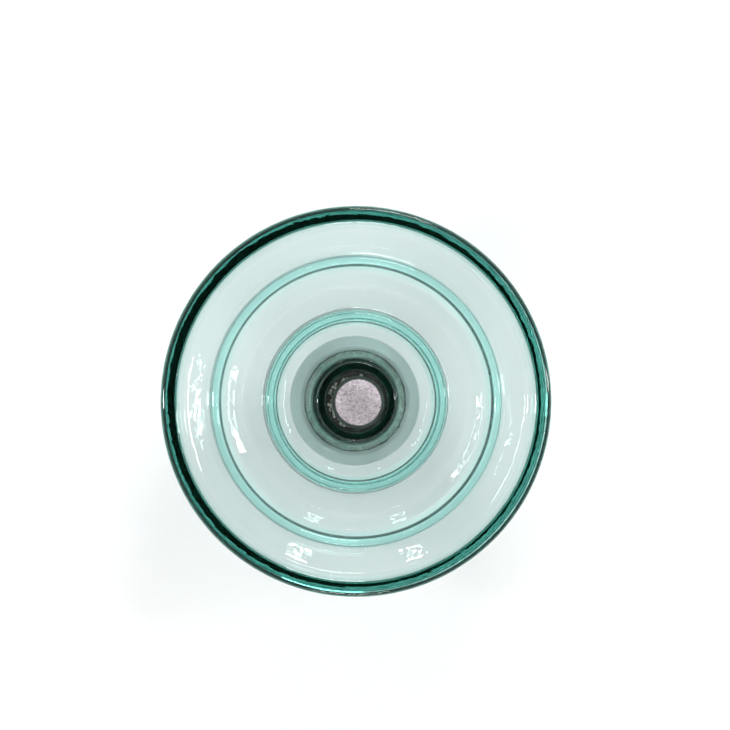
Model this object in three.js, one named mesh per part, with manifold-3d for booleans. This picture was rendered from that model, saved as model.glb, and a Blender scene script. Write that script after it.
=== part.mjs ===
// Cap-and-pin suspension insulator with a toughened glass shell, standing on its cap.
// Millimetres, +Z up along the axis. The cap's socket end is at z = 0 and the ball is uppermost.
// The ball-entry window of the socket faces -Y and the eye of the locking pin faces +Y.
import * as THREE from 'three';
import { mergeVertices } from 'three/addons/utils/BufferGeometryUtils.js';
import Module from 'manifold-3d';

// Sizes a buyer would quote
const discDiameter = 255;
const spacing = 146;
const ballDiameter = 33.3;
const ballHeight = 13.4;
const shankDiameter = 17;

// Socket in the cap
const lipThickness = 10;
const socketClearance = 2.7;
const slotClearance = 2.2;
const ledgeHeight = 4;
const entryClearance = 2.1;
const webThickness = 7.5;
const socketWall = 10;
const endChamfer = 2;

// Bell of the cap
const bellWall = 5.5;
const bellDepth = 45.5;
const lipHeight = 7;
const beadWidth = 10.5;
const beadDrop = 4.5;
const beadFlat = 3;

// Glass head and neck, held in the bell
const headRadius = 31.5;
const neckTaper = 5;
const headJoint = 7;
const neckJoint = 8;
const headGap = 2;
const headWall = 11;

// Shed, ribs and rim
const shedThickness = 8.5;
const shedRise = 19;
const shedStart = 4.5;
const rimWidth = 13;
const rimDepth = 12.6;
const rimSide = 5.9;
const rimLean = 0.9;
const rimRound = 4.4;
const rimWallInset = 11.2;
const innerRibRadius = 54.3;
const outerRibInset = 37.6;
const ribWidth = 9.8;
const ribOuterDraft = 0.3;
const ribInnerDraft = 4.2;
const ribOuterFoot = 3.9;
const ribInnerFoot = 0.8;
const ribTipRound = 2.8;
const innerRibHeight = 26;
const outerRibHeight = 20;
const stepDepth = 1.4;
const stepShare = 0.69;

// Collar round the pin hole
const collarRadius = 26.2;
const collarWall = 6.6;
const collarFoot = 1.5;
const collarHeight = 38.5;
const collarTipRound = 1.8;
const cementFaceDepth = 20;
const grooveDepth = 1.4;
const grooveCount = 3;

// Embedded end of the pin
const footFlare = 4.5;
const footGap = 4;
const coneCount = 2;
const coneShrink = 1.2;
const coneWaist = 1;

// Locking pin
const wireWidth = 2.2;
const wireHeight = 4.2;
const legGap = 0.8;
const humpRise = 0.9;
const tipSpread = 4.2;
const eyeRadius = 6.5;
const pinHoleClearance = 0.7;

// Fits
const clearance = 0.3;
const cushionThickness = headGap - 2 * clearance;
const segments = 36;
const cornerStep = Math.PI / 4;
const wireSteps = 64;

// Derived heights and radii
const discRadius = discDiameter / 2;
const ballRadius = ballDiameter / 2;
const shankRadius = shankDiameter / 2;
const footRadius = shankRadius + footFlare;
const seatZ = lipThickness;
const socketRadius = ballRadius + socketClearance / 2;
const slotRadius = (shankDiameter + slotClearance) / 2;
const ledgeZ = seatZ + ledgeHeight;
const socketTopZ = ledgeZ + ballHeight + entryClearance;
const bellFloorZ = socketTopZ + webThickness;
const socketOuterRadius = socketRadius + socketWall;
const lipZ = bellFloorZ + bellDepth;
const neckRadius = headRadius - neckTaper;
const mouthRadius = neckRadius + neckJoint;
const bellRadius = headRadius + headJoint;
const lipOuterRadius = mouthRadius + beadWidth;

const headTopZ = bellFloorZ + headGap;
const holeBottomZ = headTopZ + headWall;
const shedCapZ = lipZ + shedStart;
const shedSlope = shedRise / (discRadius - lipOuterRadius);
const shedOuterZ = (radius) => shedCapZ + (radius - lipOuterRadius) * shedSlope;
const shedInnerZ = (radius) => shedOuterZ(radius) + shedThickness;
const rimInnerRadius = discRadius - rimWidth;
const rimWallRadius = discRadius - rimWallInset;
const outerRibRadius = discRadius - outerRibInset;
const rimTipZ = shedInnerZ(rimInnerRadius) + rimDepth;
const collarInnerRadius = collarRadius - collarWall;
const collarTipZ = lipZ + collarHeight;
const cementFaceZ = collarTipZ - cementFaceDepth;
const ballSeatZ = seatZ + spacing;
const ballTopZ = ballSeatZ + ballHeight;
const footZ = holeBottomZ + footGap;

// Profile helpers
// A profile is a list of [radius, height, corner radius]; each corner is replaced by a short arc.
function roundCorners(corners, closed = false) {
  const points = [];
  const count = corners.length;
  corners.forEach(([x, y, size = 0], index) => {
    const isEnd = !closed && (index === 0 || index === count - 1);
    const here = new THREE.Vector2(x, y);
    if (isEnd || size === 0) {
      points.push(here);
      return;
    }
    const [px, py] = corners[(index + count - 1) % count];
    const [nx, ny] = corners[(index + 1) % count];
    const back = new THREE.Vector2(px, py).sub(here);
    const ahead = new THREE.Vector2(nx, ny).sub(here);
    const room = 0.48 * Math.min(back.length(), ahead.length());
    back.normalize();
    ahead.normalize();
    const turn = Math.PI - Math.acos(THREE.MathUtils.clamp(back.dot(ahead), -1, 1));
    const reach = Math.min(size * Math.tan(turn / 2), room);
    const radius = reach / Math.tan(turn / 2);
    const start = here.clone().addScaledVector(back, reach);
    const middle = back.clone().add(ahead).normalize();
    const centre = here.clone().addScaledVector(middle, Math.hypot(radius, reach));
    const from = start.clone().sub(centre);
    const sign = back.x * ahead.y - back.y * ahead.x > 0 ? -1 : 1;
    const steps = Math.max(1, Math.round(turn / cornerStep));
    for (let step = 0; step <= steps; step += 1) {
      const angle = (sign * turn * step) / steps;
      points.push(from.clone().rotateAround(new THREE.Vector2(), angle).add(centre));
    }
  });
  return points;
}

// Moves an open line sideways by a distance, to the left of its direction of travel.
function offsetLine(points, distance) {
  const lines = [];
  for (let index = 0; index < points.length - 1; index += 1) {
    const along = points[index + 1].clone().sub(points[index]).normalize();
    const side = new THREE.Vector2(-along.y, along.x).multiplyScalar(distance);
    lines.push({ from: points[index].clone().add(side), to: points[index + 1].clone().add(side), along });
  }
  const moved = [lines[0].from];
  for (let index = 1; index < lines.length; index += 1) {
    const before = lines[index - 1];
    const after = lines[index];
    const cross = before.along.x * after.along.y - before.along.y * after.along.x;
    if (Math.abs(cross) < 1e-6) {
      moved.push(after.from);
    } else {
      const between = after.from.clone().sub(before.from);
      const reach = (between.x * after.along.y - between.y * after.along.x) / cross;
      moved.push(before.from.clone().addScaledVector(before.along, reach));
    }
  }
  moved.push(lines[lines.length - 1].to);
  return moved;
}

// Radius of a line at a height, for lines that run steadily up or down.
function radiusAt(points, height) {
  for (let index = 0; index < points.length - 1; index += 1) {
    const a = points[index];
    const b = points[index + 1];
    if ((a.y - height) * (b.y - height) <= 0 && a.y !== b.y) {
      return a.x + ((b.x - a.x) * (height - a.y)) / (b.y - a.y);
    }
  }
  return points[points.length - 1].x;
}

// The stretch of a line between two heights, with its ends cut level.
function cutBetween(points, fromZ, toZ) {
  const low = Math.min(fromZ, toZ);
  const high = Math.max(fromZ, toZ);
  const inside = points.filter((point) => point.y > low + 0.05 && point.y < high - 0.05);
  const first = new THREE.Vector2(radiusAt(points, fromZ), fromZ);
  const last = new THREE.Vector2(radiusAt(points, toZ), toZ);
  return [first, ...inside, last];
}

function signedArea(points) {
  let sum = 0;
  points.forEach((point, index) => {
    const next = points[(index + 1) % points.length];
    sum += point.x * next.y - next.x * point.y;
  });
  return sum / 2;
}

// Solid helpers
// Spins a closed profile about the axis. Points on the axis become single poles.
function revolve(profile) {
  const points = signedArea(profile) > 0 ? profile : [...profile].reverse();
  const onAxis = (point) => Math.abs(point.x) < 1e-6;
  const positions = [];
  const rings = points.map((point) => {
    const start = positions.length / 3;
    const copies = onAxis(point) ? 1 : segments;
    for (let turn = 0; turn < copies; turn += 1) {
      const angle = (2 * Math.PI * turn) / segments;
      positions.push(point.x * Math.cos(angle), point.x * Math.sin(angle), point.y);
    }
    return { start, copies };
  });
  const faces = [];
  const vertex = (ring, turn) => ring.start + (ring.copies === 1 ? 0 : turn % segments);
  rings.forEach((ring, index) => {
    const next = rings[(index + 1) % rings.length];
    if (ring.copies === 1 && next.copies === 1) {
      return;
    }
    for (let turn = 0; turn < segments; turn += 1) {
      const a = vertex(ring, turn);
      const b = vertex(ring, turn + 1);
      const c = vertex(next, turn + 1);
      const d = vertex(next, turn);
      if (ring.copies > 1) {
        faces.push(a, b, c);
      }
      if (next.copies > 1) {
        faces.push(a, c, d);
      }
    }
  });
  const geometry = new THREE.BufferGeometry();
  geometry.setAttribute('position', new THREE.Float32BufferAttribute(positions, 3));
  geometry.setIndex(faces);
  return geometry;
}

// A flat outline pushed along +Z between two heights.
function prism(outline, low, high) {
  const shape = new THREE.Shape(outline);
  const geometry = new THREE.ExtrudeGeometry(shape, { depth: high - low, bevelEnabled: false });
  geometry.translate(0, 0, low);
  return geometry;
}

function roundedBox(width, height, corner) {
  const x = width / 2;
  const y = height / 2;
  return roundCorners([[-x, -y, corner], [x, -y, corner], [x, y, corner], [-x, y, corner]], true);
}

const wasm = await Module();
wasm.setup();

function toSolid(geometry) {
  const bare = geometry.clone();
  bare.deleteAttribute('normal');
  bare.deleteAttribute('uv');
  const merged = mergeVertices(bare, 1e-4);
  return new wasm.Manifold(new wasm.Mesh({
    numProp: 3,
    vertProperties: new Float32Array(merged.attributes.position.array),
    triVerts: new Uint32Array(merged.index.array),
  }));
}

function toGeometry(solid) {
  const mesh = solid.getMesh();
  const geometry = new THREE.BufferGeometry();
  geometry.setAttribute('position', new THREE.Float32BufferAttribute(mesh.vertProperties, 3));
  geometry.setIndex(Array.from(mesh.triVerts));
  return geometry;
}

const group = new THREE.Group();

function addPiece(name, geometry, color, roughness, metalness, opacity = 1) {
  const material = new THREE.MeshStandardMaterial({
    color, roughness, metalness, opacity, transparent: opacity < 1,
  });
  const faceted = geometry.index ? geometry.toNonIndexed() : geometry;
  faceted.computeVertexNormals();
  const mesh = new THREE.Mesh(faceted, material);
  mesh.name = name;
  group.add(mesh);
}

// Bell of the cap
// Inside of the bell, from its floor to its mouth: it narrows at the mouth and so grips the cement.
const bellInside = roundCorners([
  [0, bellFloorZ],
  [headRadius - 3, bellFloorZ, 6],
  [bellRadius, bellFloorZ + 14, 8],
  [bellRadius, lipZ - lipHeight - 5, 2],
  [mouthRadius, lipZ - lipHeight + 1, 2],
  [mouthRadius, lipZ],
]);
const capOutside = roundCorners([
  [0, 0],
  [socketOuterRadius - endChamfer, 0],
  [socketOuterRadius, endChamfer],
  [socketOuterRadius, bellFloorZ - 6, 6],
  [bellRadius + bellWall - 3, bellFloorZ + 12, 14],
  [bellRadius + bellWall, lipZ - lipHeight - 3, 3],
  [lipOuterRadius, lipZ - lipHeight - 1, 2],
  [lipOuterRadius, lipZ - beadDrop, 2.5],
  [mouthRadius + beadFlat, lipZ, 3],
  [mouthRadius, lipZ],
]);
const capProfile = [...capOutside, ...[...bellInside].reverse().slice(1)];
const socketRoom = [
  new THREE.Vector2(0, seatZ),
  new THREE.Vector2(socketRadius, seatZ),
  new THREE.Vector2(socketRadius, socketTopZ - 2),
  new THREE.Vector2(socketRadius - 2, socketTopZ),
  new THREE.Vector2(0, socketTopZ),
];

// A slot open towards -Y with a round end on the axis.
function slotOutline(radius) {
  const outline = [];
  const steps = segments / 2;
  for (let step = 0; step <= steps; step += 1) {
    const angle = (Math.PI * step) / steps;
    outline.push(new THREE.Vector2(radius * Math.cos(angle), radius * Math.sin(angle)));
  }
  outline.push(new THREE.Vector2(-radius, -2 * socketOuterRadius));
  outline.push(new THREE.Vector2(radius, -2 * socketOuterRadius));
  return outline;
}

// Hole for the locking pin through the back wall, along +Y.
const pinZ = socketTopZ - clearance - wireHeight / 2 - 0.4;
const legOffset = (legGap + wireWidth) / 2;
const legHalfWidth = legOffset + wireWidth / 2;
const pinHoleHalfWidth = legHalfWidth + humpRise + pinHoleClearance / 2;
const pinHole = prism(roundedBox(2 * pinHoleHalfWidth, wireHeight + pinHoleClearance, 1.5), 0, 2 * socketOuterRadius);
pinHole.rotateX(-Math.PI / 2);
pinHole.translate(0, 0, pinZ);

const entry = prism(slotOutline(socketRadius - 0.4), ledgeZ, socketTopZ);
const capSolid = toSolid(revolve(capProfile))
  .subtract(toSolid(revolve(socketRoom)))
  .subtract(toSolid(prism(slotOutline(slotRadius), -1, seatZ + ledgeHeight + 1)))
  .subtract(toSolid(entry))
  .subtract(toSolid(pinHole));
addPiece('cap', toGeometry(capSolid), 0x9a9d9b, 0.6, 0.7);

// Glass shell
// Outside of the head, from its crown to the neck.
const headOutside = roundCorners([
  [0, headTopZ],
  [headRadius - 7, headTopZ, 6],
  [headRadius, headTopZ + 10, 6],
  [headRadius, lipZ - 20, 4],
  [neckRadius, lipZ - 11, 4],
  [neckRadius, lipZ + 1],
]);

// Pin hole from its mouth down to its floor, with shallow grooves that key the cement.
const grooveTopZ = cementFaceZ - 5;
const grooveBottomZ = holeBottomZ + 8;
const groovePitch = (grooveTopZ - grooveBottomZ) / grooveCount;
const holeCorners = [[collarInnerRadius, collarTipZ - collarTipRound]];
holeCorners.push([collarInnerRadius, grooveTopZ + 1.5]);
for (let groove = 0; groove < grooveCount; groove += 1) {
  const top = grooveTopZ - groove * groovePitch;
  holeCorners.push([collarInnerRadius - grooveDepth, top - 0.3 * groovePitch]);
  holeCorners.push([collarInnerRadius - grooveDepth, top - 0.6 * groovePitch]);
  holeCorners.push([collarInnerRadius - 0.2, top - groovePitch + 1]);
}
holeCorners.push([collarInnerRadius - 2, holeBottomZ + 2, 3]);
holeCorners.push([collarInnerRadius - 5, holeBottomZ, 2]);
holeCorners.push([0, holeBottomZ]);
const holeWall = roundCorners(holeCorners);

function ribCorners(middle, tipZ) {
  const foot = ribWidth / 2;
  return [
    [middle + foot, shedInnerZ(middle + foot), ribOuterFoot],
    [middle + foot - ribOuterDraft, tipZ, ribTipRound],
    [middle - foot + ribInnerDraft, tipZ, ribTipRound],
    [middle - foot, shedInnerZ(middle - foot), ribInnerFoot],
  ];
}

// The step lies at a set share of the channel between the ribs.
const channelWidth = outerRibRadius - innerRibRadius - ribWidth;
const stepRadius = innerRibRadius + ribWidth / 2 + stepShare * channelWidth;
const shellCorners = [
  [neckRadius, shedCapZ - 0.1 * shedStart, 0.8 * shedStart],
  [lipOuterRadius + 2, shedOuterZ(lipOuterRadius + 2), 6],
  [rimWallRadius, shedOuterZ(rimWallRadius), 2.9],
  [discRadius, rimTipZ - rimSide],
  [discRadius - rimLean, rimTipZ, rimRound],
  [rimInnerRadius, rimTipZ - 0.5, rimRound],
  [rimInnerRadius, shedInnerZ(rimInnerRadius), 3.7],
  ...ribCorners(outerRibRadius, shedInnerZ(outerRibRadius) + outerRibHeight),
  [stepRadius, shedInnerZ(stepRadius)],
  [stepRadius - 2, shedInnerZ(stepRadius - 2) - stepDepth],
  ...ribCorners(innerRibRadius, shedInnerZ(innerRibRadius) + innerRibHeight),
  [collarRadius + 0.4, shedInnerZ(collarRadius) + 0.2, collarFoot],
  [collarRadius, collarTipZ, collarTipRound],
  [collarInnerRadius, collarTipZ, collarTipRound],
];
const shellLine = roundCorners([
  [neckRadius, lipZ - 8],
  ...shellCorners,
  [collarInnerRadius, cementFaceZ],
]);
const shellProfile = [
  ...headOutside.slice(0, -1),
  ...shellLine,
  ...holeWall.filter((point) => point.y < cementFaceZ),
];
addPiece('glass_shell', revolve(shellProfile), 0xbfe6dc, 0.05, 0, 0.4);

// Cement and cushion between the head and the bell
const cushionRadius = headRadius - 10;
const bellLining = offsetLine(bellInside, clearance);
const headLining = offsetLine(headOutside, -clearance);
const cementStart = cushionRadius + clearance;
const capCementProfile = [
  new THREE.Vector2(cementStart, bellFloorZ + clearance),
  ...bellLining.filter((point) => point.x > cementStart && point.y < lipZ - 0.1),
  new THREE.Vector2(mouthRadius - clearance, lipZ),
  new THREE.Vector2(neckRadius + clearance, lipZ),
  ...[...headLining].reverse().filter((point) => point.x > cementStart && point.y < lipZ - 0.1),
  new THREE.Vector2(cementStart, headTopZ - clearance),
];
addPiece('cap_cement', revolve(capCementProfile), 0x8b8e84, 0.95, 0);

function disc(radius, low, high) {
  return revolve([
    new THREE.Vector2(0, low),
    new THREE.Vector2(radius, low),
    new THREE.Vector2(radius, high),
    new THREE.Vector2(0, high),
  ]);
}

addPiece('head_cushion', disc(cushionRadius, bellFloorZ + clearance, bellFloorZ + clearance + cushionThickness), 0x8a6844, 0.9, 0);

// Ball pin
const domeRadius = ballRadius - 2.1;
const landRadius = 4;
const crownDrop = 2.1;
const coneTopZ = cementFaceZ - 8;
const conePitch = (coneTopZ - footZ) / coneCount;
const footCorners = [[0, footZ], [footRadius - 1.5, footZ], [footRadius, footZ + 1.5]];
for (let cone = 0; cone < coneCount; cone += 1) {
  const top = footZ + (cone + 1) * conePitch;
  const shrink = cone * coneShrink;
  footCorners.push([footRadius - shrink, top - conePitch + 4]);
  footCorners.push([shankRadius + coneWaist, top - 2.5, 3]);
  if (cone < coneCount - 1) {
    footCorners.push([footRadius - shrink - coneShrink, top + 1.5]);
  }
}
const pinOutside = roundCorners([
  ...footCorners,
  [shankRadius, coneTopZ + 3],
  [shankRadius, ballSeatZ - 1.5, 3],
  [shankRadius + 2.2, ballSeatZ + 0.4],
  [ballRadius - 2.2, ballSeatZ + 2.2],
  [ballRadius, ballSeatZ + 4.8],
  [ballRadius, ballSeatZ + 6.4],
  [domeRadius, ballTopZ - crownDrop, 1.3],
  [0.68 * ballRadius, ballTopZ - 1],
  [0.45 * ballRadius, ballTopZ - 0.3],
  [landRadius, ballTopZ],
  [0, ballTopZ],
]);
addPiece('ball_pin', revolve(pinOutside), 0x9c9ea3, 0.55, 0.8);

// Cement and cushion in the pin hole
// holeWall runs downwards, so its clear side is to the right of travel.
const holeLining = offsetLine(holeWall, -clearance);
const pinLining = offsetLine(pinOutside, -clearance);
const pinCementLowZ = footZ;
const pinCementProfile = [
  ...cutBetween(pinLining, pinCementLowZ + 0.6, cementFaceZ),
  ...cutBetween(holeLining, cementFaceZ, pinCementLowZ + 0.6),
];
addPiece('pin_cement', revolve(pinCementProfile), 0x85887a, 0.95, 0);
addPiece('pin_cushion', disc(footRadius, holeBottomZ + clearance, footZ - clearance), 0x6f5a42, 0.9, 0);

// Locking pin
// A folded wire: an eye outside the back wall, two legs through it and spread tips above the ball.
const wallInnerY = socketRadius;
const wallOuterY = socketOuterRadius;
const tipLength = 4;
const tipY = -0.72 * socketRadius;
const humpY = wallInnerY - 3.2;
const eyeY = wallOuterY + eyeRadius + 5;
const leg = [
  [legOffset + tipSpread, tipY],
  [legOffset + tipSpread, tipY + 1],
  [legOffset + 0.4 * tipSpread, tipY + tipLength],
  [legOffset, tipY + 2 * tipLength],
  [legOffset, humpY - 4],
  [legOffset + humpRise, humpY],
  [legOffset, humpY + 3],
  [legOffset, wallOuterY],
];
const eye = [];
const eyeSteps = 9;
for (let step = 0; step < eyeSteps; step += 1) {
  const angle = -1.05 + ((Math.PI + 2.1) * step) / (eyeSteps - 1);
  eye.push([eyeRadius * Math.cos(angle), eyeY + eyeRadius * Math.sin(angle)]);
}
const mirrored = [...leg].reverse().map(([x, y]) => [-x, y]);
const route = [...leg, ...eye, ...mirrored].map(([x, y]) => new THREE.Vector3(x, y, pinZ));
const wirePath = new THREE.CatmullRomCurve3(route, false, 'centripetal');
const across = wireHeight / 2;
const thick = wireWidth / 2;
const wireShape = new THREE.Shape([
  [across, -0.5 * thick], [across, 0.5 * thick], [0.75 * across, thick], [-0.75 * across, thick],
  [-across, 0.5 * thick], [-across, -0.5 * thick], [-0.75 * across, -thick], [0.75 * across, -thick],
].map(([x, y]) => new THREE.Vector2(x, y)));
const wire = new THREE.ExtrudeGeometry(wireShape, { steps: wireSteps, extrudePath: wirePath, bevelEnabled: false });
addPiece('locking_pin', wire, 0xb9bcc0, 0.35, 0.9);

export default group;
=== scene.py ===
import math
import random

import bpy
from mathutils import Matrix, Vector


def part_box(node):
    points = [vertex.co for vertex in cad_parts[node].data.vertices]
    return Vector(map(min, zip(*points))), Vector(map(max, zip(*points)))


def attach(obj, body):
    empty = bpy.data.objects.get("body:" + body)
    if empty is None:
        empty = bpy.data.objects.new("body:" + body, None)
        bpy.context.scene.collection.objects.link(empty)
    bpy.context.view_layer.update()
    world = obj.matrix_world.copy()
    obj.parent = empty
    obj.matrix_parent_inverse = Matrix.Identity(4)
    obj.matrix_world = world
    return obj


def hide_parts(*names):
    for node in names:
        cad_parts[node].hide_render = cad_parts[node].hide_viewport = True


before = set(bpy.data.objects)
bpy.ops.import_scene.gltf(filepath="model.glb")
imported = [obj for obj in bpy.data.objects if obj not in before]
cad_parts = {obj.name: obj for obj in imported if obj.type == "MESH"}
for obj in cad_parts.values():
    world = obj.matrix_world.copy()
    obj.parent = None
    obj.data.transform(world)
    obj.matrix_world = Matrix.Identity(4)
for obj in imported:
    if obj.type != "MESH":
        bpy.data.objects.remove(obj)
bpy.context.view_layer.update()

mm = 0.001
seatBody = "insulator"
slideBody = "locking_pin"

shellLow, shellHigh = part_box("glass_shell")
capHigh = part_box("cap")[1]
pinLow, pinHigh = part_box("ball_pin")
lockLow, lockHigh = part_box("locking_pin")
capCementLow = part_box("cap_cement")[0]
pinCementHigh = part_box("pin_cement")[1]

discRadius = shellHigh[0] / mm
lipZ = capHigh[2] / mm
headTopZ = shellLow[2] / mm
ballTopZ = pinHigh[2] / mm
ballRadius = pinHigh[0] / mm
footZ = pinLow[2] / mm
cementFaceZ = pinCementHigh[2] / mm


# working helpers

def deselectAll():
    if bpy.context.object and bpy.context.object.mode != 'OBJECT':
        bpy.ops.object.mode_set(mode='OBJECT')
    for other in list(bpy.context.selected_objects):
        other.select_set(False)


def makeActive(obj):
    deselectAll()
    obj.select_set(True)
    bpy.context.view_layer.objects.active = obj


def inEditMode(obj, mode='VERT'):
    makeActive(obj)
    bpy.ops.object.mode_set(mode='EDIT')
    bpy.ops.mesh.select_mode(type=mode)


def applyModifier(obj, kind, **settings):
    makeActive(obj)
    bpy.ops.object.modifier_add(type=kind)
    mod = obj.modifiers[-1]
    for key, value in settings.items():
        setattr(mod, key, value)
    bpy.ops.object.modifier_apply(modifier=mod.name)


# corners are [radius, height, rounding] in mm; every corner becomes a fine arc
def roundLine(corners, arcStep=7.0, longest=3.0):
    rough = []
    for i, corner in enumerate(corners):
        here = Vector(corner[:2])
        size = corner[2] if len(corner) > 2 else 0
        if size == 0 or i in (0, len(corners) - 1):
            rough.append(here)
            continue
        back = Vector(corners[i - 1][:2]) - here
        ahead = Vector(corners[i + 1][:2]) - here
        room = 0.48 * min(back.length, ahead.length)
        back.normalize()
        ahead.normalize()
        turn = math.pi - back.angle(ahead)
        reach = min(size * math.tan(turn / 2), room)
        radius = reach / math.tan(turn / 2)
        centre = here + (back + ahead).normalized() * math.hypot(radius, reach)
        spoke = here + back * reach - centre
        sign = -1 if back.x * ahead.y - back.y * ahead.x > 0 else 1
        steps = max(2, round(math.degrees(turn) / arcStep))
        for step in range(steps + 1):
            angle = sign * turn * step / steps
            c, s = math.cos(angle), math.sin(angle)
            rough.append(centre + Vector((spoke.x * c - spoke.y * s, spoke.x * s + spoke.y * c)))
    points = [rough[0]]
    for point in rough[1:]:
        gap = (point - points[-1]).length
        if gap < 1e-4:
            continue
        pieces = max(1, math.ceil(gap / longest))
        start = points[-1].copy()
        for piece in range(1, pieces + 1):
            points.append(start.lerp(point, piece / pieces))
    return points


# a plane merged to one vertex, then extruded from point to point
def drawLine(name, points):
    deselectAll()
    first = points[0]
    bpy.ops.mesh.primitive_plane_add(size=2 * mm, location=(0, 0, 0))
    obj = bpy.context.object
    obj.name = name
    bpy.ops.object.mode_set(mode='EDIT')
    bpy.ops.mesh.select_all(action='SELECT')
    bpy.ops.mesh.merge(type='CENTER')
    bpy.ops.transform.translate(value=(first[0] * mm, 0, first[1] * mm))
    for here, after in zip(points, points[1:]):
        step = ((after[0] - here[0]) * mm, 0, (after[1] - here[1]) * mm)
        bpy.ops.mesh.extrude_region_move(TRANSFORM_OT_translate={"value": step})
    bpy.ops.object.mode_set(mode='OBJECT')
    return obj


# the drawn line spun once round the axis and closed
def spinLine(obj, steps):
    inEditMode(obj)
    bpy.ops.mesh.select_all(action='SELECT')
    bpy.ops.mesh.spin(steps=steps, angle=2 * math.pi, center=(0, 0, 0), axis=(0, 0, 1))
    bpy.ops.mesh.select_all(action='SELECT')
    bpy.ops.mesh.remove_doubles(threshold=0.01 * mm)
    bpy.ops.mesh.select_all(action='SELECT')
    bpy.ops.mesh.normals_make_consistent(inside=False)
    bpy.ops.object.mode_set(mode='OBJECT')


def spunPiece(name, points, steps, closed=False):
    line = list(points) + ([points[0]] if closed else [])
    obj = drawLine(name, line)
    spinLine(obj, steps)
    makeActive(obj)
    bpy.ops.object.shade_smooth()
    return obj


def roughen(obj, texName, size, strength, group="", axis='NORMAL', depth=3):
    tex = bpy.data.textures.new(texName, 'CLOUDS')
    tex.noise_scale = size * mm
    tex.noise_depth = depth
    applyModifier(obj, 'DISPLACE', texture=tex, strength=strength * mm, mid_level=0.5,
                  texture_coords='LOCAL', direction=axis, vertex_group=group)


def finishPiece(obj, body, node, material):
    obj.data.materials.clear()
    obj.data.materials.append(material)
    obj.data.name = obj.name
    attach(obj, body)
    if node:
        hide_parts(node)
    print("made", obj.name, len(obj.data.polygons), "faces")


# node helpers

def addNode(tree, kind, x, y, **settings):
    node = tree.nodes.new(kind)
    node.location = (x, y)
    for key, value in settings.items():
        setattr(node, key, value)
    return node


def setInputs(node, **values):
    for key, value in values.items():
        node.inputs[key.replace("_", " ")].default_value = value


def link(tree, fromNode, fromSocket, toNode, toSocket):
    tree.links.new(fromNode.outputs[fromSocket], toNode.inputs[toSocket])


def newMaterial(name):
    mat = bpy.data.materials.new(name)
    mat.use_nodes = True
    tree = mat.node_tree
    shader = tree.nodes["Principled BSDF"]
    return mat, tree, shader


# mottled noise between two values, shared by the metals and the cements
def mottleGroup():
    group = bpy.data.node_groups.new("mottle", 'ShaderNodeTree')
    face = group.interface
    face.new_socket("Vector", in_out='INPUT', socket_type='NodeSocketVector')
    for name, value in (("Coarse", 60.0), ("Fine", 900.0), ("Fine Share", 0.35)):
        sock = face.new_socket(name, in_out='INPUT', socket_type='NodeSocketFloat')
        sock.default_value = value
    face.new_socket("Value", in_out='OUTPUT', socket_type='NodeSocketFloat')
    gin = addNode(group, 'NodeGroupInput', -700, 0)
    gout = addNode(group, 'NodeGroupOutput', 300, 0)
    coarse = addNode(group, 'ShaderNodeTexNoise', -450, 150)
    setInputs(coarse, Detail=4.0, Roughness=0.6)
    fine = addNode(group, 'ShaderNodeTexNoise', -450, -150)
    setInputs(fine, Detail=2.0, Roughness=0.7)
    mixer = addNode(group, 'ShaderNodeMix', 0, 0, data_type='FLOAT')
    group.links.new(gin.outputs["Vector"], coarse.inputs["Vector"])
    group.links.new(gin.outputs["Vector"], fine.inputs["Vector"])
    group.links.new(gin.outputs["Coarse"], coarse.inputs["Scale"])
    group.links.new(gin.outputs["Fine"], fine.inputs["Scale"])
    group.links.new(gin.outputs["Fine Share"], mixer.inputs["Factor"])
    group.links.new(coarse.outputs["Fac"], mixer.inputs["A"])
    group.links.new(fine.outputs["Fac"], mixer.inputs["B"])
    group.links.new(mixer.outputs["Result"], gout.inputs["Value"])
    return group


mottle = mottleGroup()


def addMottle(tree, x, y, coords, coarse, fine, share):
    node = addNode(tree, 'ShaderNodeGroup', x, y, node_tree=mottle)
    setInputs(node, Coarse=coarse, Fine=fine, Fine_Share=share)
    tree.links.new(coords, node.inputs["Vector"])
    return node


def addRamp(tree, x, y, value, stops):
    ramp = addNode(tree, 'ShaderNodeValToRGB', x, y)
    keys = ramp.color_ramp.elements
    keys[0].position, keys[0].color = stops[0]
    keys[1].position, keys[1].color = stops[-1]
    for place, color in stops[1:-1]:
        keys.new(place).color = color
    tree.links.new(value, ramp.inputs["Fac"])
    return ramp


def addRange(tree, x, y, value, low, high, fromLow=0.3, fromHigh=0.7):
    node = addNode(tree, 'ShaderNodeMapRange', x, y)
    setInputs(node, From_Min=fromLow, From_Max=fromHigh, To_Min=low, To_Max=high)
    tree.links.new(value, node.inputs["Value"])
    return node


def addBump(tree, x, y, height, distance, strength):
    node = addNode(tree, 'ShaderNodeBump', x, y)
    setInputs(node, Distance=distance * mm, Strength=strength)
    tree.links.new(height, node.inputs["Height"])
    return node


def objectCoords(tree):
    return addNode(tree, 'ShaderNodeTexCoord', -1300, 0).outputs["Object"]


# glass
glass = {
    "ior": 1.52,
    "tint": (0.07, 0.885, 0.785, 1.0),   # what a long path keeps of red, green and blue
    "density": 28.0,                   # per metre
    "face": (0.88, 0.83, 0.84, 1.0),  # what each face lets through
    "ripple": 0.16,                    # mm, slow waves left by the mould
    "spinSteps": 192,
}


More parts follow.
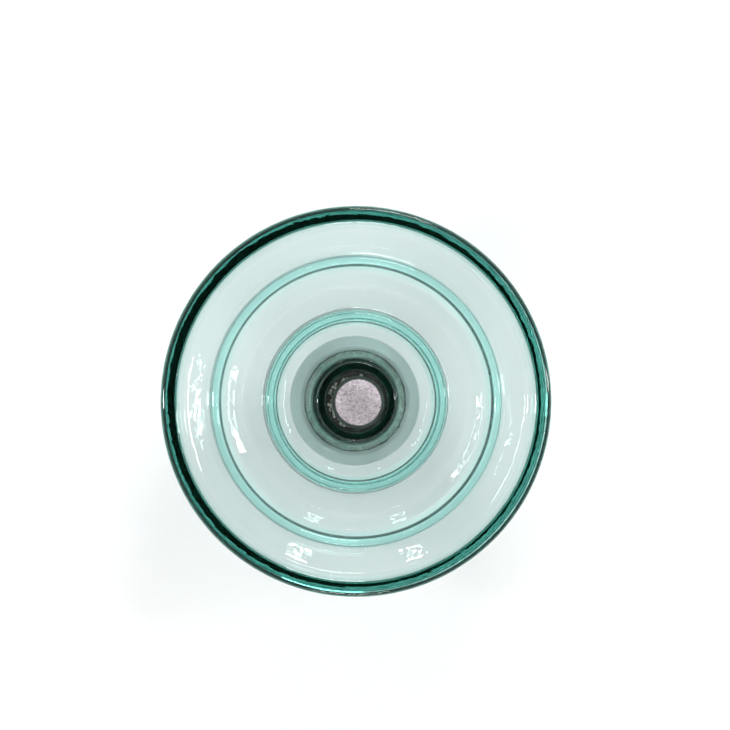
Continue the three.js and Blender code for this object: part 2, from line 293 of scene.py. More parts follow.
def glassMaterial():
    mat, tree, shader = newMaterial("toughenedGlass")
    coords = objectCoords(tree)
    setInputs(shader, Base_Color=glass["face"], IOR=glass["ior"], Transmission_Weight=1.0)
    ripple = addMottle(tree, -900, -300, coords, 28.0, 110.0, 0.25)
    bump = addBump(tree, -300, -300, ripple.outputs["Value"], 1.0, glass["ripple"])
    link(tree, bump, "Normal", shader, "Normal")
    haze = addMottle(tree, -900, 100, coords, 18.0, 400.0, 0.3)
    rough = addRange(tree, -300, 100, haze.outputs["Value"], 0.0, 0.03, 0.45, 0.8)
    link(tree, rough, "Result", shader, "Roughness")
    absorb = addNode(tree, 'ShaderNodeVolumeAbsorption', 0, -400)
    setInputs(absorb, Color=glass["tint"], Density=glass["density"])
    tree.links.new(absorb.outputs["Volume"], tree.nodes["Material Output"].inputs["Volume"])
    return mat


shell = {
    "neckRadius": 26.5, "headRadius": 31.5, "neckJoint": 8.0,
    "shedStart": 4.5, "shedInnerRadius": 45.0, "shedRise": 19.0, "shedThickness": 8.5,
    "rimWidth": 13.0, "rimDepth": 12.6, "rimSide": 5.9, "rimStart": 116.3, "rimLean": 0.9,
    "innerRib": (54.3, 26.0), "outerRib": (89.9, 20.0), "ribWidth": 9.8,
    "outerDraft": 0.3, "innerDraft": 4.2, "outerFoot": 3.9, "innerFoot": 0.8, "ribTip": 2.8,
    "collarRadius": 26.2, "collarWall": 6.6, "collarHeight": 38.5, "tipRound": 1.8, "collarFoot": 1.5,
    "holeFloor": 11.0, "stepDepth": 1.4, "stepGap": 8.0, "grooveDepth": 1.4, "grooves": 3,
}


def shedOuter(radius):
    slope = shell["shedRise"] / (discRadius - shell["shedInnerRadius"])
    return lipZ + shell["shedStart"] + (radius - shell["shedInnerRadius"]) * slope


def shedInner(radius):
    return shedOuter(radius) + shell["shedThickness"]


def ribCorners(middle, height):
    foot = shell["ribWidth"] / 2
    top = shedInner(middle) + height
    return [
        [middle + foot, shedInner(middle + foot), shell["outerFoot"]],
        [middle + foot - shell["outerDraft"], top, shell["ribTip"]],
        [middle - foot + shell["innerDraft"], top, shell["ribTip"]],
        [middle - foot, shedInner(middle - foot), shell["innerFoot"]],
    ]


def glassCorners():
    neck, head = shell["neckRadius"], shell["headRadius"]
    rimInner = discRadius - shell["rimWidth"]
    rimTip = shedInner(rimInner) + shell["rimDepth"]
    bore = shell["collarRadius"] - shell["collarWall"]
    collarTip = lipZ + shell["collarHeight"]
    floor = headTopZ + shell["holeFloor"]
    step = shell["outerRib"][0] - shell["ribWidth"] / 2 - shell["stepGap"]
    corners = [
        [0, headTopZ],
        [head - 7, headTopZ, 6],
        [head, headTopZ + 10, 6],
        [head, lipZ - 20, 4],
        [neck, lipZ - 11, 4],
        [neck, lipZ + 0.9 * shell["shedStart"], 3.6],
        [shell["shedInnerRadius"] + 2, shedOuter(shell["shedInnerRadius"] + 2), 6],
        [shell["rimStart"], shedOuter(shell["rimStart"]), 2.9],
        [discRadius, rimTip - shell["rimSide"], 2.7],
        [discRadius - shell["rimLean"], rimTip, 4.4],
        [rimInner, rimTip - 0.5, 4.4],
        [rimInner, shedInner(rimInner), 3.7],
    ]
    corners += ribCorners(*shell["outerRib"])
    corners += [
        [step, shedInner(step), 2],
        [step - 2, shedInner(step - 2) - shell["stepDepth"], 2],
    ]
    corners += ribCorners(*shell["innerRib"])
    corners += [
        [shell["collarRadius"] + 0.4, shedInner(shell["collarRadius"]) + 0.2, shell["collarFoot"]],
        [shell["collarRadius"], collarTip, shell["tipRound"]],
        [bore, collarTip, shell["tipRound"]],
        [bore, cementFaceZ - 3.5, 1],
    ]
    top = cementFaceZ - 5
    pitch = (top - (floor + 8)) / shell["grooves"]
    for groove in range(shell["grooves"]):
        high = top - groove * pitch
        corners.append([bore - shell["grooveDepth"], high - 0.3 * pitch, 0.8])
        corners.append([bore - shell["grooveDepth"], high - 0.6 * pitch, 0.8])
        corners.append([bore - 0.2, high - pitch + 1, 0.8])
    corners += [[bore - 2, floor + 2, 2], [bore - 5, floor, 2], [0, floor]]
    return corners


def makeShell(material):
    points = roundLine(glassCorners())
    obj = spunPiece("glassShell", points, glass["spinSteps"])
    finishPiece(obj, seatBody, "glass_shell", material)
    return obj


# metals
galvanised = {
    "pin": ((0.23, 0.207, 0.23, 1.0), (0.53, 0.485, 0.515, 1.0)),
    "cap": ((0.40, 0.41, 0.415, 1.0), (0.64, 0.65, 0.65, 1.0)),
    # near-black painted shade for the ball pin's flank
    "paintedFlankShade": (0.03, 0.036, 0.03, 1.0),
    # near-white painted light for the top of the cap lip
    "paintedLipLight": (0.97, 0.96, 0.96, 1.0),
    "roughness": (0.38, 0.62),
    "grain": 0.35,
}


def galvanisedMaterial(name, colours, coarse, fine, grain, metal, flankShadeRadius=None, litLipHeight=None):
    mat, tree, shader = newMaterial(name)
    coords = objectCoords(tree)
    spangle = addMottle(tree, -1000, 200, coords, coarse, fine, 0.45)
    dark, light = colours
    ramp = addRamp(tree, -600, 300, spangle.outputs["Value"], [(0.36, dark), (0.60, light)])
    if flankShadeRadius:
        # painted shade: near-black beyond this radius stands in for the shaded flank of the ball; the crown
        # inside keeps the zinc colour
        across = addNode(tree, 'ShaderNodeVectorMath', -1000, 600, operation='MULTIPLY')
        across.inputs[1].default_value = (1, 1, 0)
        tree.links.new(coords, across.inputs[0])
        reach = addNode(tree, 'ShaderNodeVectorMath', -800, 600, operation='LENGTH')
        link(tree, across, "Vector", reach, 0)
        edge = addRange(tree, -600, 600, reach.outputs["Value"], 0.0, 1.0,
                        (flankShadeRadius - 0.4) * mm, (flankShadeRadius + 0.5) * mm)
        paintedFlankShade = addNode(tree, 'ShaderNodeMix', -300, 400, data_type='RGBA')
        paintedFlankShade.inputs["B"].default_value = galvanised["paintedFlankShade"]
        link(tree, edge, "Result", paintedFlankShade, "Factor")
        link(tree, ramp, "Color", paintedFlankShade, "A")
        link(tree, paintedFlankShade, "Result", shader, "Base Color")
    elif litLipHeight:
        # painted light: the upward-facing lip top is painted near-white and not metallic, standing in for
        # the lip lit through the glass
        parts = addNode(tree, 'ShaderNodeSeparateXYZ', -800, 600)
        tree.links.new(coords, parts.inputs["Vector"])
        edge = addRange(tree, -600, 600, parts.outputs["Z"], 0.0, 1.0, (litLipHeight - 2) * mm, litLipHeight * mm)
        paintedLipLight = addNode(tree, 'ShaderNodeMix', -300, 400, data_type='RGBA')
        paintedLipLight.inputs["B"].default_value = galvanised["paintedLipLight"]
        link(tree, edge, "Result", paintedLipLight, "Factor")
        link(tree, ramp, "Color", paintedLipLight, "A")
        link(tree, paintedLipLight, "Result", shader, "Base Color")
        litLipMetal = addRange(tree, -300, 650, edge.outputs["Result"], metal, 0.0, 0.0, 1.0)
        link(tree, litLipMetal, "Result", shader, "Metallic")
    else:
        link(tree, ramp, "Color", shader, "Base Color")
    rough = addRange(tree, -600, 0, spangle.outputs["Value"],
                     galvanised["roughness"][1], galvanised["roughness"][0])
    link(tree, rough, "Result", shader, "Roughness")
    setInputs(shader, Metallic=metal)
    pits = addNode(tree, 'ShaderNodeTexVoronoi', -1000, -300)
    setInputs(pits, Scale=fine * 0.9, Randomness=1.0)
    tree.links.new(coords, pits.inputs["Vector"])
    blend = addNode(tree, 'ShaderNodeMath', -700, -300, operation='MULTIPLY')
    link(tree, pits, "Distance", blend, 0)
    tree.links.new(spangle.outputs["Value"], blend.inputs[1])
    bump = addBump(tree, -300, -300, blend.outputs[0], 0.25, galvanised["grain"] * grain)
    link(tree, bump, "Normal", shader, "Normal")
    return mat


def stainlessMaterial():
    mat, tree, shader = newMaterial("lockingSteel")
    coords = objectCoords(tree)
    drawn = addNode(tree, 'ShaderNodeMapping', -1100, 0)
    setInputs(drawn, Scale=(6.0, 0.4, 6.0))
    tree.links.new(coords, drawn.inputs["Vector"])
    lines = addMottle(tree, -850, 0, drawn.outputs["Vector"], 260.0, 1400.0, 0.5)
    ramp = addRamp(tree, -500, 200, lines.outputs["Value"],
                   [(0.3, (0.52, 0.52, 0.53, 1)), (0.7, (0.74, 0.74, 0.75, 1))])
    link(tree, ramp, "Color", shader, "Base Color")
    rough = addRange(tree, -500, -50, lines.outputs["Value"], 0.22, 0.4)
    link(tree, rough, "Result", shader, "Roughness")
    setInputs(shader, Metallic=1.0)
    bump = addBump(tree, -300, -300, lines.outputs["Value"], 0.05, 0.3)
    link(tree, bump, "Normal", shader, "Normal")
    return mat


# cements and cork
cement = {
    # near black: the bitumen coat where the cement meets the glass, darkened further over the top face as
    # painted shade deep in the hole
    "pin": ((0.012, 0.013, 0.011, 1), (0.05, 0.05, 0.042, 1)),
    "cap": ((0.50, 0.54, 0.49, 1), (0.88, 0.92, 0.86, 1)),
    "crumb": ((0.10, 0.11, 0.09, 1), (0.42, 0.44, 0.38, 1)),
    # dark painted shadow for the cap cement's outer edge
    "paintedEdgeShadow": (0.03, 0.045, 0.035, 1.0),
    "wander": 0.9,                     # mm the ragged edge strays
}


def cementMaterial(name, colours, bumpSize, outline=None):
    mat, tree, shader = newMaterial(name)
    coords = objectCoords(tree)
    sand = addMottle(tree, -1000, 200, coords, 110.0, 1300.0, 0.45)
    dark, light = colours
    ramp = addRamp(tree, -600, 250, sand.outputs["Value"], [(0.3, dark), (0.68, light)])
    if outline:
        # painted shadow: a dark line along the ragged outer edge, where the squeezed-out edge shades the
        # lip; the line wanders with the sand
        across = addNode(tree, 'ShaderNodeVectorMath', -1000, 600, operation='MULTIPLY')
        across.inputs[1].default_value = (1, 1, 0)
        tree.links.new(coords, across.inputs[0])
        reach = addNode(tree, 'ShaderNodeVectorMath', -800, 600, operation='LENGTH')
        link(tree, across, "Vector", reach, 0)
        wander = addRange(tree, -800, 800, sand.outputs["Value"],
                          -cement["wander"] * mm, cement["wander"] * mm)
        edge = addNode(tree, 'ShaderNodeMath', -600, 700, operation='ADD')
        link(tree, reach, "Value", edge, 0)
        link(tree, wander, "Result", edge, 1)
        paintedEdgeShadow = addRange(tree, -450, 600, edge.outputs[0], 0.0, 0.9,
                         (outline - 1.0) * mm, (outline + 0.1) * mm)
        mixer = addNode(tree, 'ShaderNodeMix', -300, 400, data_type='RGBA')
        mixer.inputs["B"].default_value = cement["paintedEdgeShadow"]
        link(tree, paintedEdgeShadow, "Result", mixer, "Factor")
        link(tree, ramp, "Color", mixer, "A")
        link(tree, mixer, "Result", shader, "Base Color")
    else:
        link(tree, ramp, "Color", shader, "Base Color")
    rough = addRange(tree, -600, 0, sand.outputs["Value"], 0.8, 0.98)
    link(tree, rough, "Result", shader, "Roughness")
    pores = addNode(tree, 'ShaderNodeTexVoronoi', -1000, -250)
    setInputs(pores, Scale=700.0)
    tree.links.new(coords, pores.inputs["Vector"])
    both = addNode(tree, 'ShaderNodeMath', -700, -250, operation='ADD')
    link(tree, pores, "Distance", both, 0)
    tree.links.new(sand.outputs["Value"], both.inputs[1])
    bump = addBump(tree, -300, -250, both.outputs[0], bumpSize, 0.8)
    link(tree, bump, "Normal", shader, "Normal")
    return mat


def corkMaterial():
    mat, tree, shader = newMaterial("pressedCork")
    coords = objectCoords(tree)
    grains = addNode(tree, 'ShaderNodeTexVoronoi', -1000, 0)
    setInputs(grains, Scale=520.0)
    tree.links.new(coords, grains.inputs["Vector"])
    ramp = addRamp(tree, -600, 150, grains.outputs["Distance"],
                   [(0.0, (0.42, 0.25, 0.12, 1)), (0.75, (0.16, 0.085, 0.04, 1))])
    link(tree, ramp, "Color", shader, "Base Color")
    rough = addRange(tree, -600, -100, grains.outputs["Distance"], 0.75, 0.95, 0.0, 0.8)
    link(tree, rough, "Result", shader, "Roughness")
    bump = addBump(tree, -300, -250, grains.outputs["Distance"], 0.3, 0.5)
    link(tree, bump, "Normal", shader, "Normal")
    return mat


# ball pin
pin = {"shank": 8.5, "footFlare": 4.5, "ballHeight": 13.4, "spinSteps": 96}


def makeBallPin(material):
    shank = pin["shank"]
    foot = shank + pin["footFlare"]
    seat = ballTopZ - pin["ballHeight"]
    coneTop = cementFaceZ - 8
    pitch = (coneTop - footZ) / 2
    corners = [
        [0, footZ],
        [foot - 1.5, footZ, 0.6],
        [foot, footZ + 1.5, 0.6],
        [foot, footZ + 4, 1],
        [shank + 1, footZ + pitch - 2.5, 3],
        [foot - 1.2, footZ + pitch + 1.5, 0.8],
        [foot - 1.2, footZ + pitch + 4, 1],
        [shank + 1, coneTop - 2.5, 3],
        [shank, coneTop + 3, 2],
        [shank, seat - 1.5, 3],
        [shank + 2.2, seat + 0.4, 1.0],
        [ballRadius - 2.2, seat + 2.2, 3.4],
        [ballRadius, seat + 4.8, 1.2],
        [ballRadius, seat + 6.4, 1.2],
        [ballRadius - 2.1, ballTopZ - 2.1, 1.1],
        [0.68 * ballRadius, ballTopZ - 1.0, 6],
        [0.45 * ballRadius, ballTopZ - 0.3, 6],
        [4, ballTopZ, 2],
        [0, ballTopZ],
    ]
    obj = spunPiece("ballPin", roundLine(corners, longest=1.6), pin["spinSteps"])
    finishPiece(obj, seatBody, "ball_pin", material)
    return obj


# cement in the pin hole, with crumbs on its face
def makePinCement(material):
    bore = shell["collarRadius"] - shell["collarWall"]
    floor = headTopZ + shell["holeFloor"]
    face = cementFaceZ
    corners = [
        [pin["shank"] - 0.2, face - 14, 0],
        [pin["shank"] - 0.2, face + 0.8, 0],
        [pin["shank"] + 3, face - 0.4, 1],
        [bore - 3, face - 0.6, 1],
        [bore + 0.1, face + 0.3, 0],
        [bore + 0.1, face - 3.5, 0],
    ]
    top = face - 5
    pitch = (top - (floor + 8)) / shell["grooves"]
    for groove in range(shell["grooves"]):
        high = top - groove * pitch
        corners.append([bore - shell["grooveDepth"] + 0.1, high - 0.3 * pitch])
        corners.append([bore - shell["grooveDepth"] + 0.1, high - 0.6 * pitch])
        corners.append([bore - 0.1, high - pitch + 1])
    corners += [[bore - 2, floor + 4.6], [12.2, floor + 4.6], [11.0, floor + 20]]
    points = roundLine(corners, longest=1.2)
    obj = spunPiece("pinCement", points, 96, closed=True)
    group = obj.vertex_groups.new(name="face")
    for v in obj.data.vertices:
        if v.co.z > (face - 1.5) * mm and v.co.xy.length < (bore - 0.4) * mm:
            group.add([v.index], 1.0, 'REPLACE')
    roughen(obj, "pinFace", 2.2, 1.5, "face", 'Z', 4)
    finishPiece(obj, seatBody, "pin_cement", material)
    return obj


# crumbs of set cement lying on that face, most of them on one side
crumbs = {"count": 90, "size": (0.4, 1.3), "reach": (14.0, 18.2), "seed": 7}


def makeCrumbs(material):
    rng = random.Random(crumbs["seed"])
    deselectAll()
    grains = []
    for i in range(crumbs["count"]):
        angle = rng.gauss(math.pi, 0.9)
        reach = rng.uniform(*crumbs["reach"])
        size = rng.uniform(*crumbs["size"])
        height = cementFaceZ + 0.5 + 0.3 * size
        spot = (reach * math.cos(angle) * mm, reach * math.sin(angle) * mm, height * mm)
        bpy.ops.mesh.primitive_ico_sphere_add(subdivisions=2, radius=size * mm, location=spot)
        grain = bpy.context.object
        inEditMode(grain)
        bpy.ops.mesh.select_all(action='SELECT')
        bpy.ops.transform.resize(value=(1, rng.uniform(0.6, 1), rng.uniform(0.5, 0.8)))
        bpy.ops.mesh.vertices_smooth(factor=0.3, repeat=1)
        bpy.ops.transform.vertex_random(offset=0.22 * size * mm, seed=i)
        bpy.ops.object.mode_set(mode='OBJECT')
        grains.append(grain)
    makeActive(grains[0])
    for grain in grains:
        grain.select_set(True)
    bpy.ops.object.join()
    bpy.ops.object.transform_apply(location=True, rotation=True, scale=True)
    obj = bpy.context.object
    obj.name = "cementCrumbs"
    finishPiece(obj, seatBody, None, material)
    return obj


# cement between the head and the bell, squeezed out against the shed
def makeCapCement(material):
    neck, head = shell["neckRadius"], shell["headRadius"]
    mouth = neck + shell["neckJoint"]
    bell = head + cap["bellGap"]
    low = capCementLow[2] / mm
    corners = [
        [21.8, low],
        [head - 3.2, low, 6],
        [bell - 0.3, low + 14, 8],
        [bell - 0.3, lipZ - 12, 2],
        [mouth - 0.3, lipZ - 6, 2],
        [mouth - 0.3, lipZ, 0.5],
        [mouth - 0.9, lipZ + 1.3, 1.0],
        [mouth - 0.4, lipZ + 4.2, 0.3],
        [neck + 3.2, lipZ + 4.3, 0.4],
        [neck - 0.1, lipZ + 1.5, 0],
        [neck - 0.1, lipZ - 11, 3],
        [head - 0.1, lipZ - 20, 3],
        [head - 0.1, headTopZ + 10, 6],
        [head - 7, headTopZ + 0.1, 6],
        [21.8, headTopZ + 0.1],
    ]
    obj = spunPiece("capCement", roundLine(corners, longest=1.5), 160, closed=True)
    group = obj.vertex_groups.new(name="edge")
    for v in obj.data.vertices:
        if v.co.z > (lipZ + 0.2) * mm and v.co.xy.length > (mouth - 2.2) * mm:
            group.add([v.index], 1.0, 'REPLACE')
    roughen(obj, "squeezedEdge", 3.0, 2.2, "edge", 'NORMAL', 4)
    finishPiece(obj, seatBody, "cap_cement", material)
    return obj


# cap
cap = {"lip": 10.0, "socketRadius": 18.0, "slotRadius": 9.6, "wall": 10.0, "ledge": 4.0,
       "roof": 29.5, "web": 7.5, "bellWall": 5.5, "bead": 10.5, "spinSteps": 128,
       "bellGap": 7.0, "slotLength": 60.0, "pinHole": (7.7, 40.0, 4.9), "edge": 0.7}


# a slot with a round end on the axis, open towards the front
def slotCutter(radius, low, high):
    deselectAll()
    bpy.ops.mesh.primitive_cylinder_add(vertices=96, radius=radius * mm, depth=(high - low) * mm,
                                        location=(0, 0, (low + high) / 2 * mm))
    cutter = bpy.context.object
    bpy.ops.object.transform_apply(location=True, rotation=True, scale=True)
    inEditMode(cutter)
    bpy.ops.mesh.select_all(action='SELECT')
    bpy.ops.mesh.bisect(plane_co=(0, 0, 0), plane_no=(0, 1, 0), use_fill=True, clear_inner=True)
    bpy.ops.mesh.extrude_region_move(TRANSFORM_OT_translate={"value": (0, -cap["slotLength"] * mm, 0)})
    bpy.ops.mesh.select_all(action='SELECT')
    bpy.ops.mesh.normals_make_consistent(inside=False)
    bpy.ops.object.mode_set(mode='OBJECT')
    return cutter


def cutAway(obj, cutter):
    applyModifier(obj, 'BOOLEAN', operation='DIFFERENCE', object=cutter, solver='EXACT')
    bpy.data.objects.remove(cutter, do_unlink=True)


def makeCap(material):
    outer = cap["socketRadius"] + cap["wall"]
    floor = cap["roof"] + cap["web"]
    bell = shell["headRadius"] + cap["bellGap"]
    mouth = shell["neckRadius"] + shell["neckJoint"]
    lipOuter = mouth + cap["bead"]
    corners = [
        [0, 0],
        [outer - 1.2, 0, 0.8],
        [outer, 2.2, 2.5],
        [outer, floor - 6, 6],
        [bell + cap["bellWall"] - 3, floor + 12, 14],
        [bell + cap["bellWall"], lipZ - 10, 3],
        [lipOuter, lipZ - 8, 2],
        [lipOuter, lipZ - 4.5, 2.5],
        [mouth + 3, lipZ, 3],
        [mouth, lipZ, 0.5],
        [mouth, lipZ - 6, 2],
        [bell, lipZ - 12, 2],
        [bell, floor + 14, 8],
        [shell["headRadius"] - 3, floor, 6],
        [0, floor],
    ]
    obj = spunPiece("capBody", roundLine(corners, longest=4.0), cap["spinSteps"])
    room = [[0, cap["lip"]], [cap["socketRadius"], cap["lip"], 0.6],
            [cap["socketRadius"], cap["roof"], 2.2], [0, cap["roof"]]]
    cutAway(obj, spunPiece("socketRoom", roundLine(room), cap["spinSteps"]))
    cutAway(obj, slotCutter(cap["slotRadius"], -2, cap["lip"] + cap["ledge"] + 1))
    cutAway(obj, slotCutter(cap["socketRadius"] - 0.4, cap["lip"] + cap["ledge"], cap["roof"]))
    # hole for the locking pin through the back wall
    wireZ = (lockLow[2] + lockHigh[2]) / 2
    deselectAll()
    hole = [size * mm for size in cap["pinHole"]]
    bpy.ops.mesh.primitive_cube_add(size=1, location=(0, 30 * mm, wireZ), scale=hole)
    cutter = bpy.context.object
    bpy.ops.object.transform_apply(location=True, rotation=True, scale=True)
    applyModifier(cutter, 'BEVEL', width=1.5 * mm, segments=4)
    cutAway(obj, cutter)
    applyModifier(obj, 'BEVEL', width=cap["edge"] * mm, segments=3, limit_method='ANGLE',
                  angle_limit=math.radians(40))
    makeActive(obj)
    bpy.ops.object.shade_smooth_by_angle(angle=math.radians(35))
    finishPiece(obj, seatBody, "cap", material)
    return obj


# locking pin: a folded wire with an eye
wire = {"width": 2.2, "height": 4.2, "legGap": 0.8, "hump": 0.9, "spread": 4.2, "eye": 6.5,
        "eyeSteps": 8, "bendSteps": 8}


def makeLockingPin(material):
    wireZ = (lockLow[2] + lockHigh[2]) / 2 / mm
    leg = (wire["legGap"] + wire["width"]) / 2
    inner = cap["socketRadius"]
    outer = inner + cap["wall"]
    tip = -0.72 * inner
    hump = inner - 3.2
    eyeY = outer + wire["eye"] + 5
    side = [
        (leg + wire["spread"], tip), (leg + wire["spread"], tip + 1), (leg + 0.4 * wire["spread"], tip + 4),
        (leg, tip + 8), (leg, hump - 4), (leg + wire["hump"], hump), (leg, hump + 3), (leg, outer),
    ]
    eye = []
    for step in range(wire["eyeSteps"] + 1):
        angle = -1.05 + (math.pi + 2.1) * step / wire["eyeSteps"]
        eye.append((wire["eye"] * math.cos(angle), eyeY + wire["eye"] * math.sin(angle)))
    route = side + eye + [(-x, y) for x, y in reversed(side)]
    # centripetal spline through the route, the same as the CAD wire
    points = [Vector((x, y)) for x, y in route]
    first = points[0] * 2 - points[1]
    last = points[-1] * 2 - points[-2]
    full = [first] + points + [last]
    path = []
    for i in range(1, len(full) - 2):
        p0, p1, p2, p3 = full[i - 1:i + 3]
        t0 = 0.0
        t1 = t0 + max((p1 - p0).length, 1e-6) ** 0.5
        t2 = t1 + max((p2 - p1).length, 1e-6) ** 0.5
        t3 = t2 + max((p3 - p2).length, 1e-6) ** 0.5
        for k in range(wire["bendSteps"]):
            t = t1 + (t2 - t1) * k / wire["bendSteps"]
            a1 = p0 * ((t1 - t) / (t1 - t0)) + p1 * ((t - t0) / (t1 - t0))
            a2 = p1 * ((t2 - t) / (t2 - t1)) + p2 * ((t - t1) / (t2 - t1))
            a3 = p2 * ((t3 - t) / (t3 - t2)) + p3 * ((t - t2) / (t3 - t2))
            b1 = a1 * ((t2 - t) / (t2 - t0)) + a2 * ((t - t0) / (t2 - t0))
            b2 = a2 * ((t3 - t) / (t3 - t1)) + a3 * ((t - t1) / (t3 - t1))
            path.append(b1 * ((t2 - t) / (t2 - t1)) + b2 * ((t - t1) / (t2 - t1)))
    path.append(points[-1])
    obj = drawLine("lockingPin", [(p.x, p.y) for p in path])
    inEditMode(obj)
    bpy.ops.mesh.select_all(action='SELECT')
    bpy.ops.transform.rotate(value=math.pi / 2, orient_axis='X', center_override=(0, 0, 0))
    bpy.ops.object.mode_set(mode='OBJECT')
    if sum(v.co.y for v in obj.data.vertices) < 0:
        inEditMode(obj)
        bpy.ops.mesh.select_all(action='SELECT')
        bpy.ops.transform.rotate(value=math.pi, orient_axis='X', center_override=(0, 0, 0))
        bpy.ops.object.mode_set(mode='OBJECT')
    inEditMode(obj)
    bpy.ops.mesh.select_all(action='SELECT')
    bpy.ops.transform.translate(value=(0, 0, wireZ * mm))
    bpy.ops.object.mode_set(mode='OBJECT')
    makeActive(obj)
    bpy.ops.object.convert(target='CURVE')
    curve = bpy.context.object.data
    curve.dimensions = '3D'
    curve.twist_mode = 'Z_UP'
    curve.bevel_depth = 0.5 * wire["width"] * mm
    curve.extrude = 0.5 * (wire["height"] - wire["width"]) * mm
    curve.bevel_resolution = 4
    curve.use_fill_caps = True
    bpy.ops.object.convert(target='MESH')
    obj = bpy.context.object
    inEditMode(obj)
    bpy.ops.mesh.select_all(action='SELECT')
    bpy.ops.mesh.remove_doubles(threshold=0.01 * mm)
    bpy.ops.mesh.normals_make_consistent(inside=False)
    bpy.ops.object.mode_set(mode='OBJECT')
    makeActive(obj)
    bpy.ops.object.shade_smooth_by_angle(angle=math.radians(50))
    finishPiece(obj, slideBody, "locking_pin", material)
    return obj


# camera, lights and floor
studio = {
    "distance": 1.55,                  # m above the rim
    "lens": 117.2,
    "stand": (-0.040, 0.020),          # camera's place beside the axis, m
    "aim": (0.0057, 0.0237),           # where the middle of the frame falls, m
    "horizon": 0.77, "overhead": 0.03,  # brightness of the walls and the ceiling
    "ceiling": (0.86, 0.97),            # where the walls fade into it
    "rimDrop": 9.8,                     # mm from the top of the glass to the plane the camera aims at
    "floorSize": 30.0,                  # m
    "lookAt": (0, 0, 0.1),              # what every light faces
    "key": 8.5, "right": 3.8, "left": 5.8, "front": 5.2,
    # small lights whose reflections draw streaks on the shed: place, size and power
    "streaks": (
        ((0.52, 0.02, 1.5), (0.34, 0.026), 0.50),
        ((-0.42, 0.13, 1.5), (0.36, 0.012), 0.26),
        ((0.21, 0.43, 1.5), (0.055, 0.030), 0.14),
        ((-0.13, 0.43, 1.5), (0.055, 0.030), 0.14),
    ),
}


def makeCamera():
    rimZ = shellHigh[2] - studio["rimDrop"] * mm
    data = bpy.data.cameras.new("camera")
    data.lens = studio["lens"]
    data.sensor_width = 36
    data.clip_end = 50
    obj = bpy.data.objects.new("camera", data)
    bpy.context.collection.objects.link(obj)
    place = Vector((studio["stand"][0], studio["stand"][1], rimZ + studio["distance"]))
    target = Vector((studio["aim"][0], studio["aim"][1], rimZ))
    back = (place - target).normalized()
    right = Vector((0, 1, 0)).cross(back).normalized()
    up = back.cross(right)
    obj.location = place
    obj.rotation_euler = Matrix((right, up, back)).transposed().to_euler()
    bpy.context.scene.camera = obj


def addSoftbox(name, place, target, size, power):
    data = bpy.data.lights.new(name, 'AREA')
    data.shape = 'RECTANGLE'
    data.size, data.size_y = size
    data.energy = power
    obj = bpy.data.objects.new(name, data)
    bpy.context.collection.objects.link(obj)
    obj.location = place
    obj.rotation_euler = (Vector(target) - Vector(place)).to_track_quat('-Z', 'Y').to_euler()
    return obj


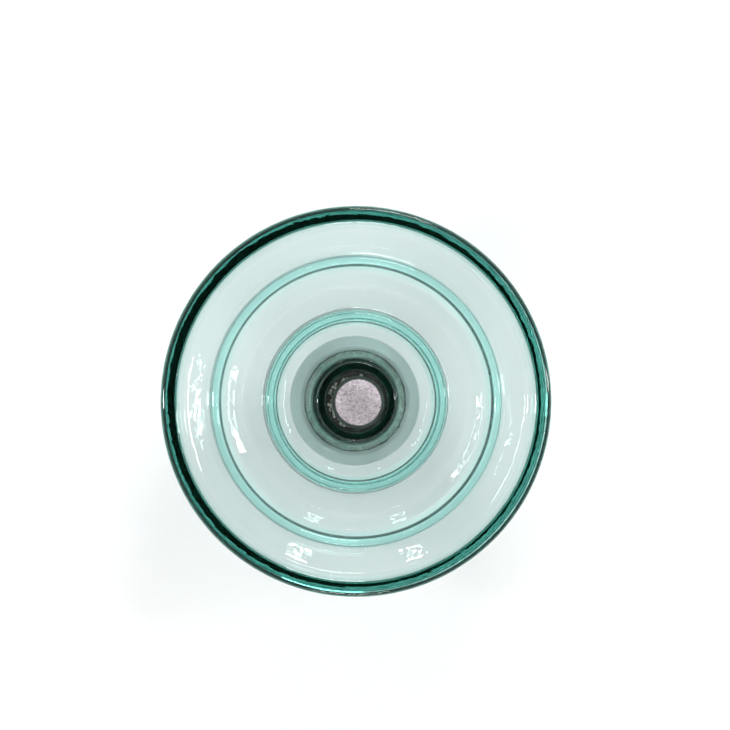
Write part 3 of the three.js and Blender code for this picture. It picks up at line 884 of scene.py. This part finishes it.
def makeStudio():
    world = bpy.data.worlds.new("studio")
    world.use_nodes = True
    sky = world.node_tree
    back = sky.nodes["Background"]
    back.inputs["Color"].default_value = (1.0, 1.0, 1.0, 1.0)
    # pale walls all round, and a dark ceiling behind the camera
    toward = addNode(sky, 'ShaderNodeTexCoord', -900, 0)
    split = addNode(sky, 'ShaderNodeSeparateXYZ', -700, 0)
    link(sky, toward, "Generated", split, "Vector")
    fade = addRange(sky, -450, 0, split.outputs["Z"], studio["horizon"], studio["overhead"],
                    *studio["ceiling"])
    fade.interpolation_type = 'SMOOTHSTEP'
    link(sky, fade, "Result", back, "Strength")
    bpy.context.scene.world = world
    addSoftbox("keyLight", (0.25, 1.1, 1.1), studio["lookAt"], (0.5, 0.3), studio["key"])
    addSoftbox("rightStrip", (1.1, 0.1, 0.9), studio["lookAt"], (0.12, 0.7), studio["right"])
    addSoftbox("leftStrip", (-1.1, 0.0, 0.9), studio["lookAt"], (0.10, 0.6), studio["left"])
    addSoftbox("frontBox", (0, -1.2, 0.9), studio["lookAt"], (0.5, 0.15), studio["front"])
    for number, (place, size, power) in enumerate(studio["streaks"], 1):
        addSoftbox(f"streakLight{number}", place, studio["lookAt"], size, power)
    deselectAll()
    bpy.ops.mesh.primitive_plane_add(size=1, location=(0, 0, 0))
    floor = bpy.context.object
    floor.name = "floor"
    bpy.ops.object.mode_set(mode='EDIT')
    bpy.ops.transform.resize(value=(studio["floorSize"], studio["floorSize"], 1))
    bpy.ops.transform.translate(value=(0, 0, -0.3 * mm))
    bpy.ops.object.mode_set(mode='OBJECT')
    mat, tree, shader = newMaterial("paleFloor")
    coords = objectCoords(tree)
    paper = addMottle(tree, -900, 0, coords, 4.0, 60.0, 0.4)
    ramp = addRamp(tree, -500, 0, paper.outputs["Value"],
                   [(0.3, (0.87, 0.87, 0.87, 1)), (0.7, (0.89, 0.89, 0.89, 1))])
    link(tree, ramp, "Color", shader, "Base Color")
    setInputs(shader, Roughness=0.9)
    floor.data.materials.append(mat)


def setLook():
    scene = bpy.context.scene
    scene.view_settings.view_transform = 'Standard'
    cycles = scene.cycles
    cycles.max_bounces = 32
    cycles.transmission_bounces = 28
    cycles.glossy_bounces = 8
    cycles.diffuse_bounces = 4
    cycles.transparent_max_bounces = 16
    cycles.caustics_refractive = True
    cycles.caustics_reflective = True
    cycles.blur_glossy = 0.3


setLook()
makeCamera()
makeStudio()
print("studio ready")

glassLook = glassMaterial()
# the ball pin's flank beyond 14.4 mm gets painted shade
pinLook = galvanisedMaterial("pinSteel", galvanised["pin"], 520.0, 1100.0, 4.5, 0.85, flankShadeRadius=14.4)
# the cap lip above lipZ - 4.5 is painted light
capLook = galvanisedMaterial("capIron", galvanised["cap"], 150.0, 800.0, 1.2, 0.6, litLipHeight=lipZ - 4.5)
lockLook = stainlessMaterial()
pinCementLook = cementMaterial("pinCementPaste", cement["pin"], 0.5)
# the cap cement gets a painted shadow line at its outer edge
capCementLook = cementMaterial("capCementPaste", cement["cap"], 0.4,
                              outline=shell["neckRadius"] + shell["neckJoint"] - 0.5)
crumbLook = cementMaterial("crumbPaste", cement["crumb"], 0.3)
corkLook = corkMaterial()

makeShell(glassLook)
makeBallPin(pinLook)
makePinCement(pinCementLook)
makeCrumbs(crumbLook)
makeCapCement(capCementLook)
makeCap(capLook)
makeLockingPin(lockLook)
for name in ("head_cushion", "pin_cushion"):
    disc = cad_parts[name]
    disc.data.materials.clear()
    disc.data.materials.append(corkLook)
print("pieces ready")
